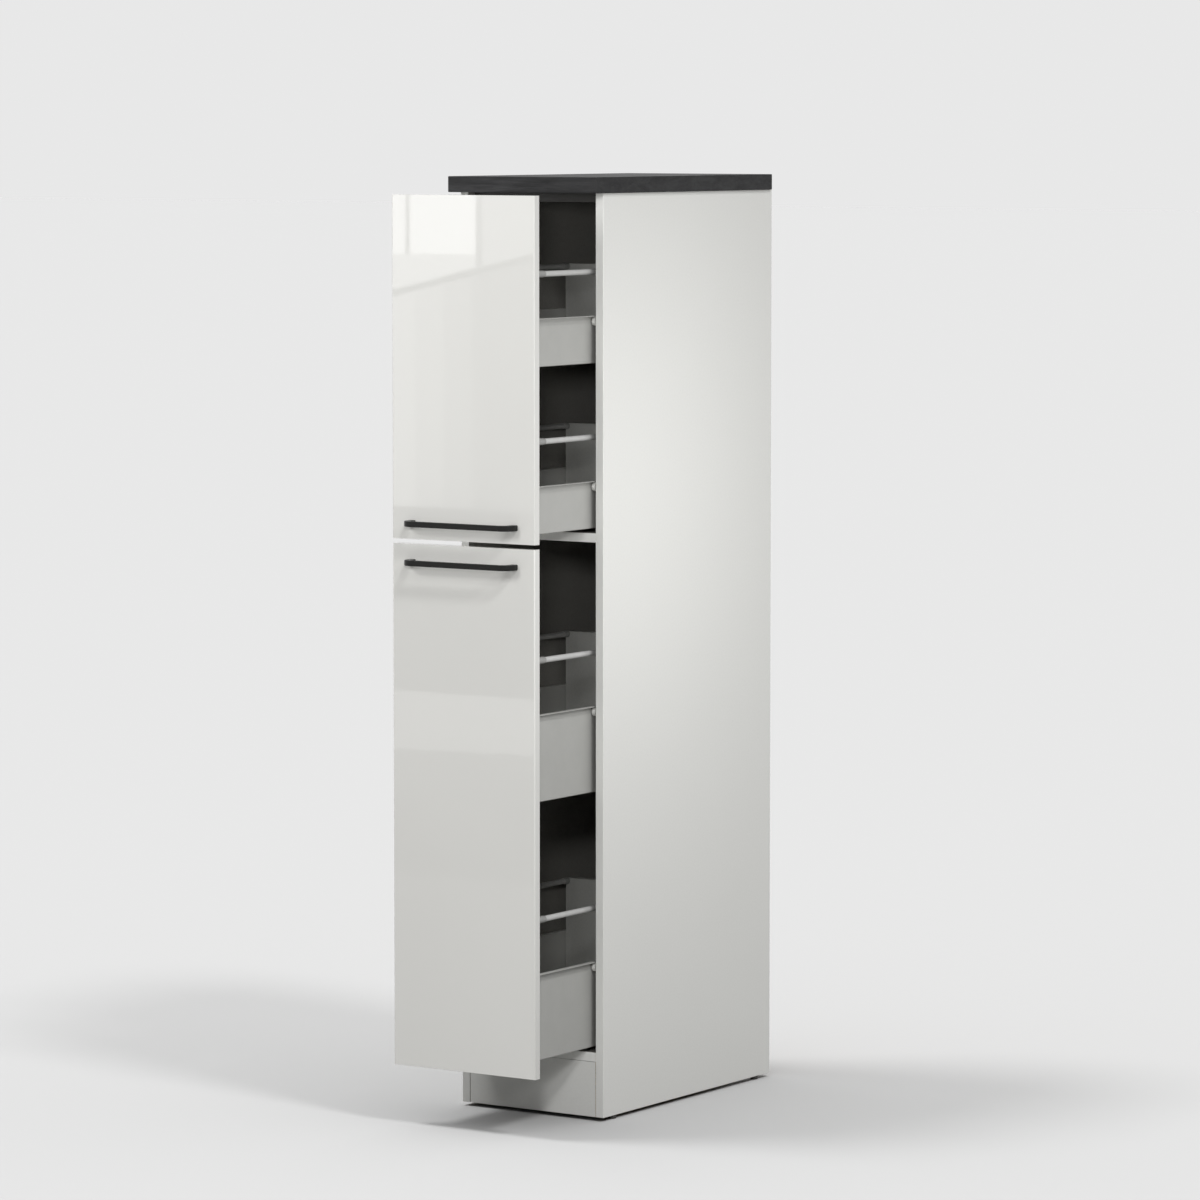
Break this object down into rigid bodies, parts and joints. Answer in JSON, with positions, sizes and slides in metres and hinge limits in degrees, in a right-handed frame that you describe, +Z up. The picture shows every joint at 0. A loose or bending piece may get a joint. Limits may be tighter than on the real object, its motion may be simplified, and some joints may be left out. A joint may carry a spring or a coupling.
{
  "type": "pull out larder unit",
  "caption": "Tall narrow kitchen larder cabinet with an overhanging worktop and two handled fronts that each draw out steel-sided drawers with gallery rails.",
  "frame": {"origin": "on the floor, under the middle of the whole unit as shown, with both fronts drawn out", "axes": "X to the right seen from the front, Y from the fronts to the back, Z up"},
  "size_m": [0.31, 0.7932, 1.65],
  "materials": {
    "front_gloss": "board with a high-gloss off-white film",
    "board_white": "melamine-faced board, matt white outside and graphite inside",
    "board_graphite": "melamine-faced board, matt graphite with a white front edge",
    "back_board": "thin fibreboard, graphite inside and brown behind",
    "worktop": "laminated worktop, anthracite with a fine mottled grain",
    "drawer_steel": "light grey powder-coated sheet steel",
    "drawer_board": "light grey melamine-faced board",
    "rail_metal": "off-white coated steel tube",
    "sleeve_plastic": "grey moulded plastic",
    "roller_plastic": "white moulded nylon",
    "handle_black": "satin black coated metal",
    "zinc": "zinc-plated steel",
    "strip_plastic": "white extruded plastic",
    "glide_plastic": "black moulded plastic"
  },
  "bodies": {
    "cabinet": {"side_panel_left": "board_white", "side_panel_right": "board_white", "bottom_board": "board_graphite", "middle_board": "board_graphite", "front_top_rail": "board_graphite", "rear_top_rail": "board_graphite", "back_panel_lower": "back_board", "back_panel_upper": "back_board", "back_joint_strip": "strip_plastic", "plinth_board": "board_white", "worktop": "worktop", "glides": "glide_plastic", "cam_locks": "zinc", "wall_brackets": "zinc", "drawer_1_runners": "drawer_steel", "drawer_2_runners": "drawer_steel", "drawer_3_runners": "drawer_steel", "drawer_4_runners": "drawer_steel"},
    "pullout_upper": {"front_upper": "front_gloss", "handle_upper": "handle_black", "handle_screws_upper": "zinc", "drawer_1_side_left": "drawer_steel", "drawer_1_side_right": "drawer_steel", "drawer_1_base": "drawer_board", "drawer_1_back": "drawer_board", "drawer_1_rails": "rail_metal", "drawer_1_rail_sleeves": "sleeve_plastic", "drawer_1_front_brackets": "zinc", "drawer_2_side_left": "drawer_steel", "drawer_2_side_right": "drawer_steel", "drawer_2_base": "drawer_board", "drawer_2_back": "drawer_board", "drawer_2_rails": "rail_metal", "drawer_2_rail_sleeves": "sleeve_plastic", "drawer_2_front_brackets": "zinc"},
    "pullout_lower": {"front_lower": "front_gloss", "handle_lower": "handle_black", "handle_screws_lower": "zinc", "drawer_3_side_left": "drawer_steel", "drawer_3_side_right": "drawer_steel", "drawer_3_base": "drawer_board", "drawer_3_back": "drawer_board", "drawer_3_rails": "rail_metal", "drawer_3_rail_sleeves": "sleeve_plastic", "drawer_3_front_brackets": "zinc", "drawer_4_side_left": "drawer_steel", "drawer_4_side_right": "drawer_steel", "drawer_4_base": "drawer_board", "drawer_4_back": "drawer_board", "drawer_4_rails": "rail_metal", "drawer_4_rail_sleeves": "sleeve_plastic", "drawer_4_front_brackets": "zinc"},
    "rollers_1": {"drawer_1_rollers": "roller_plastic"},
    "rollers_2": {"drawer_2_rollers": "roller_plastic"},
    "rollers_3": {"drawer_3_rollers": "roller_plastic"},
    "rollers_4": {"drawer_4_rollers": "roller_plastic"},
    "wheels_1": {"drawer_1_wheels": "roller_plastic"},
    "wheels_2": {"drawer_2_wheels": "roller_plastic"},
    "wheels_3": {"drawer_3_wheels": "roller_plastic"},
    "wheels_4": {"drawer_4_wheels": "roller_plastic"}
  },
  "joints": [
    {"name": "pullout_upper_slide", "type": "slide", "parent": "cabinet", "child": "pullout_upper", "axis": [0, -1, 0], "range_m": [-0.1922, 0.1828]},
    {"name": "pullout_lower_slide", "type": "slide", "parent": "cabinet", "child": "pullout_lower", "axis": [0, -1, 0], "range_m": [-0.1922, 0.1828]},
    {"name": "rollers_1_turn", "type": "hinge", "parent": "cabinet", "child": "rollers_1", "pos_m": [0, -0.1459, 1.401], "axis": [1, 0, 0], "range_deg": [-1380, 1315]},
    {"name": "rollers_2_turn", "type": "hinge", "parent": "cabinet", "child": "rollers_2", "pos_m": [0, -0.1459, 1.114], "axis": [1, 0, 0], "range_deg": [-1380, 1315]},
    {"name": "rollers_3_turn", "type": "hinge", "parent": "cabinet", "child": "rollers_3", "pos_m": [0, -0.1459, 0.721], "axis": [1, 0, 0], "range_deg": [-1380, 1315]},
    {"name": "rollers_4_turn", "type": "hinge", "parent": "cabinet", "child": "rollers_4", "pos_m": [0, -0.1459, 0.2715], "axis": [1, 0, 0], "range_deg": [-1380, 1315]},
    {"name": "wheels_1_turn", "type": "hinge", "parent": "pullout_upper", "child": "wheels_1", "pos_m": [0, 0.1394, 1.4008], "axis": [1, 0, 0], "range_deg": [-1840, 1750]},
    {"name": "wheels_2_turn", "type": "hinge", "parent": "pullout_upper", "child": "wheels_2", "pos_m": [0, 0.1394, 1.1138], "axis": [1, 0, 0], "range_deg": [-1840, 1750]},
    {"name": "wheels_3_turn", "type": "hinge", "parent": "pullout_lower", "child": "wheels_3", "pos_m": [0, 0.1394, 0.7208], "axis": [1, 0, 0], "range_deg": [-1840, 1750]},
    {"name": "wheels_4_turn", "type": "hinge", "parent": "pullout_lower", "child": "wheels_4", "pos_m": [0, 0.1394, 0.2713], "axis": [1, 0, 0], "range_deg": [-1840, 1750]}
  ],
  "couplings": [
    {"joint": "rollers_1_turn", "follows": "pullout_upper_slide", "rad_per_m": 125},
    {"joint": "rollers_2_turn", "follows": "pullout_upper_slide", "rad_per_m": 125},
    {"joint": "rollers_3_turn", "follows": "pullout_lower_slide", "rad_per_m": 125},
    {"joint": "rollers_4_turn", "follows": "pullout_lower_slide", "rad_per_m": 125},
    {"joint": "wheels_1_turn", "follows": "pullout_upper_slide", "rad_per_m": 166.67},
    {"joint": "wheels_2_turn", "follows": "pullout_upper_slide", "rad_per_m": 166.67},
    {"joint": "wheels_3_turn", "follows": "pullout_lower_slide", "rad_per_m": 166.67},
    {"joint": "wheels_4_turn", "follows": "pullout_lower_slide", "rad_per_m": 166.67}
  ]
}
